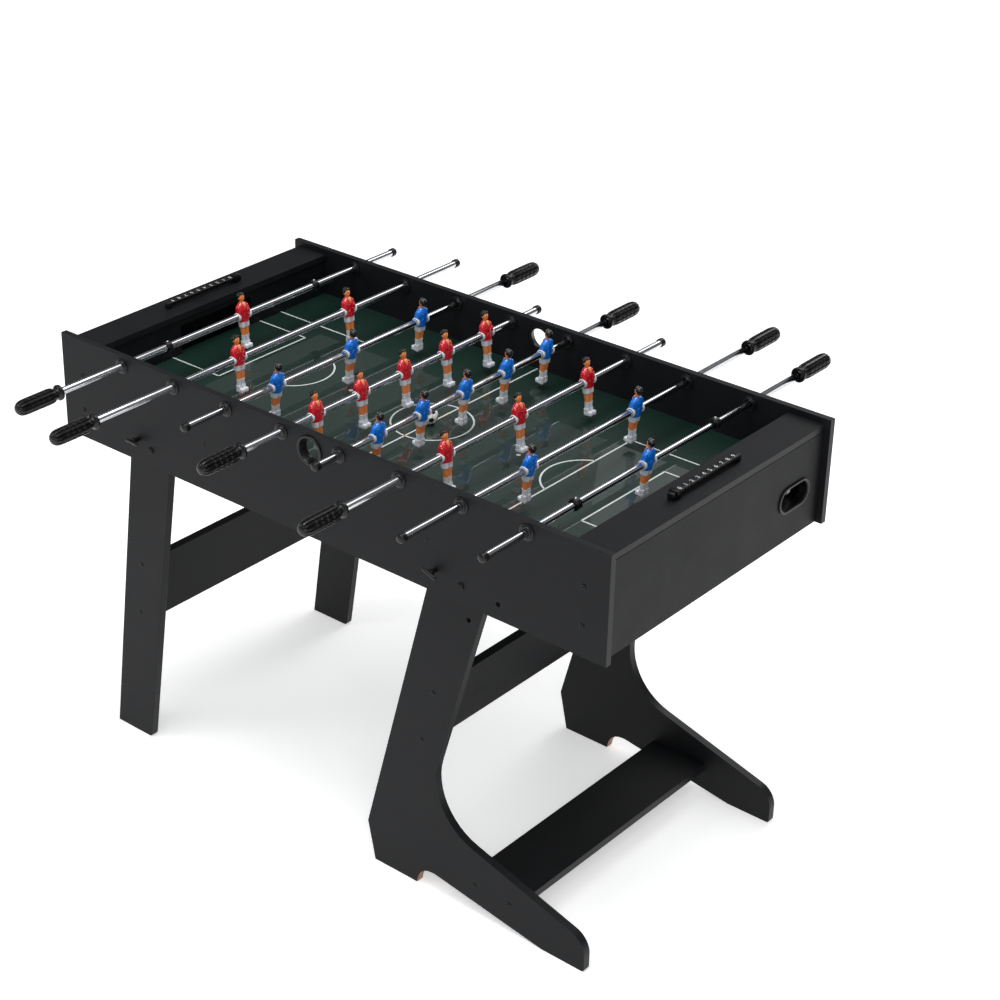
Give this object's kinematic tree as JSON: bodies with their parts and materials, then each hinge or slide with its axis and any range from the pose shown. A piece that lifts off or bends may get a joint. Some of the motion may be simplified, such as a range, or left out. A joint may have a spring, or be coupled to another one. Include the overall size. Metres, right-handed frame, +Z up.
{
  "type": "foosball table",
  "caption": "Folding football table with sliding, spinning rods of men over a green field, score counters, ball returns, Z-shaped legs and straight legs.",
  "frame": {"origin": "on the floor, in the middle of the table in X and Y", "axes": "+X runs along the table towards the Z-shaped legs, +Y across it towards the far side, +Z up"},
  "size_m": [1.21, 1.1502, 0.8275],
  "materials": {
    "laminate_board": "charcoal laminate over fibreboard, matt",
    "leg_board": "charcoal laminate over fibreboard, matt",
    "playing_surface": "printed dark green board, glossy",
    "chromed_tube": "bright chromed steel tube with moulded men",
    "grip_plastic": "black fluted grip",
    "black_plastic": "black moulded plastic",
    "knob_plastic": "black moulded T-handle",
    "black_steel": "blackened steel",
    "ball_plastic": "white and black printed ball"
  },
  "bodies": {
    "z_frame": {"z_leg_near": "leg_board", "z_leg_far": "leg_board", "z_leg_brace": "leg_board", "z_leg_foot_board": "leg_board"},
    "cabinet": {"side_panel_near": "laminate_board", "side_panel_far": "laminate_board", "playfield": "playing_surface", "end_panel_right": "laminate_board", "goal_wall_right": "laminate_board", "ledge_right": "laminate_board", "return_tray_right": "laminate_board", "return_cup_right": "black_plastic", "score_rail_right": "black_plastic", "end_panel_left": "laminate_board", "goal_wall_left": "laminate_board", "ledge_left": "laminate_board", "return_tray_left": "laminate_board", "return_cup_left": "black_plastic", "score_rail_left": "black_plastic", "serve_cup_near": "black_plastic", "pivot_bolt_near_right": "black_steel", "pivot_bolt_near_left": "black_steel", "serve_cup_far": "black_plastic", "pivot_bolt_far_right": "black_steel", "pivot_bolt_far_left": "black_steel"},
    "straight_frame": {"straight_leg_near": "leg_board", "straight_leg_far": "leg_board", "straight_leg_brace": "leg_board"},
    "knob_near_right": {"lock_knob_near_right": "knob_plastic"},
    "knob_near_left": {"lock_knob_near_left": "knob_plastic"},
    "knob_far_right": {"lock_knob_far_right": "knob_plastic"},
    "knob_far_left": {"lock_knob_far_left": "knob_plastic"},
    "bearing_1": {"sleeve_1": "black_plastic"},
    "player_rod_1": {"rod_1_red": "chromed_tube", "handle_1": "grip_plastic"},
    "bearing_2": {"sleeve_2": "black_plastic"},
    "player_rod_2": {"rod_2_red": "chromed_tube", "handle_2": "grip_plastic"},
    "bearing_3": {"sleeve_3": "black_plastic"},
    "player_rod_3": {"rod_3_blue": "chromed_tube", "handle_3": "grip_plastic"},
    "bearing_4": {"sleeve_4": "black_plastic"},
    "player_rod_4": {"rod_4_red": "chromed_tube", "handle_4": "grip_plastic"},
    "bearing_5": {"sleeve_5": "black_plastic"},
    "player_rod_5": {"rod_5_blue": "chromed_tube", "handle_5": "grip_plastic"},
    "bearing_6": {"sleeve_6": "black_plastic"},
    "player_rod_6": {"rod_6_red": "chromed_tube", "handle_6": "grip_plastic"},
    "bearing_7": {"sleeve_7": "black_plastic"},
    "player_rod_7": {"rod_7_blue": "chromed_tube", "handle_7": "grip_plastic"},
    "bearing_8": {"sleeve_8": "black_plastic"},
    "player_rod_8": {"rod_8_blue": "chromed_tube", "handle_8": "grip_plastic"},
    "counter_right": {"score_marker_right": "black_plastic"},
    "counter_left": {"score_marker_left": "black_plastic"},
    "field_ball": {"ball_on_field": "ball_plastic"},
    "returned_ball": {"ball_in_return": "ball_plastic"}
  },
  "joints": [
    {"name": "cabinet_fold", "type": "hinge", "parent": "z_frame", "child": "cabinet", "pos_m": [0.322, 0, 0.641], "axis": [0, 1, 0], "range_deg": [0, 90]},
    {"name": "straight_leg_fold", "type": "hinge", "parent": "cabinet", "child": "straight_frame", "pos_m": [-0.384, 0, 0.641], "axis": [0, 1, 0], "range_deg": [-98, 0]},
    {"name": "lock_near_right", "type": "slide", "parent": "cabinet", "child": "knob_near_right", "axis": [0, 1, 0], "range_m": [0, 0.008]},
    {"name": "lock_near_left", "type": "slide", "parent": "cabinet", "child": "knob_near_left", "axis": [0, 1, 0], "range_m": [0, 0.008]},
    {"name": "lock_far_right", "type": "slide", "parent": "cabinet", "child": "knob_far_right", "axis": [0, -1, 0], "range_m": [0, 0.008]},
    {"name": "lock_far_left", "type": "slide", "parent": "cabinet", "child": "knob_far_left", "axis": [0, -1, 0], "range_m": [0, 0.008]},
    {"name": "spin_1", "type": "hinge", "parent": "cabinet", "child": "bearing_1", "pos_m": [-0.448, 0, 0.7835], "axis": [0, 1, 0], "continuous": true},
    {"name": "slide_1", "type": "slide", "parent": "bearing_1", "child": "player_rod_1", "axis": [0, 1, 0], "range_m": [-0.0862, 0.1022]},
    {"name": "spin_2", "type": "hinge", "parent": "cabinet", "child": "bearing_2", "pos_m": [-0.32, 0, 0.7835], "axis": [0, 1, 0], "continuous": true},
    {"name": "slide_2", "type": "slide", "parent": "bearing_2", "child": "player_rod_2", "axis": [0, 1, 0], "range_m": [-0.1252, 0.1372]},
    {"name": "spin_3", "type": "hinge", "parent": "cabinet", "child": "bearing_3", "pos_m": [-0.192, 0, 0.7835], "axis": [0, 1, 0], "continuous": true},
    {"name": "slide_3", "type": "slide", "parent": "bearing_3", "child": "player_rod_3", "axis": [0, 1, 0], "range_m": [-0.0902, 0.0822]},
    {"name": "spin_4", "type": "hinge", "parent": "cabinet", "child": "bearing_4", "pos_m": [-0.064, 0, 0.7835], "axis": [0, 1, 0], "continuous": true},
    {"name": "slide_4", "type": "slide", "parent": "bearing_4", "child": "player_rod_4", "axis": [0, 1, 0], "range_m": [-0.0522, 0.0522]},
    {"name": "spin_5", "type": "hinge", "parent": "cabinet", "child": "bearing_5", "pos_m": [0.064, 0, 0.7835], "axis": [0, 1, 0], "continuous": true},
    {"name": "slide_5", "type": "slide", "parent": "bearing_5", "child": "player_rod_5", "axis": [0, 1, 0], "range_m": [-0.0622, 0.0422]},
    {"name": "spin_6", "type": "hinge", "parent": "cabinet", "child": "bearing_6", "pos_m": [0.192, 0, 0.7835], "axis": [0, 1, 0], "continuous": true},
    {"name": "slide_6", "type": "slide", "parent": "bearing_6", "child": "player_rod_6", "axis": [0, 1, 0], "range_m": [-0.0822, 0.0902]},
    {"name": "spin_7", "type": "hinge", "parent": "cabinet", "child": "bearing_7", "pos_m": [0.32, 0, 0.7835], "axis": [0, 1, 0], "continuous": true},
    {"name": "slide_7", "type": "slide", "parent": "bearing_7", "child": "player_rod_7", "axis": [0, 1, 0], "range_m": [-0.1352, 0.1272]},
    {"name": "spin_8", "type": "hinge", "parent": "cabinet", "child": "bearing_8", "pos_m": [0.448, 0, 0.7835], "axis": [0, 1, 0], "continuous": true},
    {"name": "slide_8", "type": "slide", "parent": "bearing_8", "child": "player_rod_8", "axis": [0, 1, 0], "range_m": [-0.0972, 0.0912]},
    {"name": "score_right", "type": "slide", "parent": "cabinet", "child": "counter_right", "axis": [0, 1, 0], "range_m": [0, 0.161]},
    {"name": "score_left", "type": "slide", "parent": "cabinet", "child": "counter_left", "axis": [0, -1, 0], "range_m": [0, 0.161]},
    {"name": "field_ball_lift", "type": "slide", "parent": "cabinet", "child": "field_ball", "axis": [0, 0, 1], "range_m": [0, 0.15]},
    {"name": "returned_ball_out", "type": "slide", "parent": "cabinet", "child": "returned_ball", "axis": [1, 0, 0], "range_m": [0, 0.1]}
  ],
  "couplings": [
    {"joint": "straight_leg_fold", "follows": "cabinet_fold", "ratio": -1.0889}
  ]
}
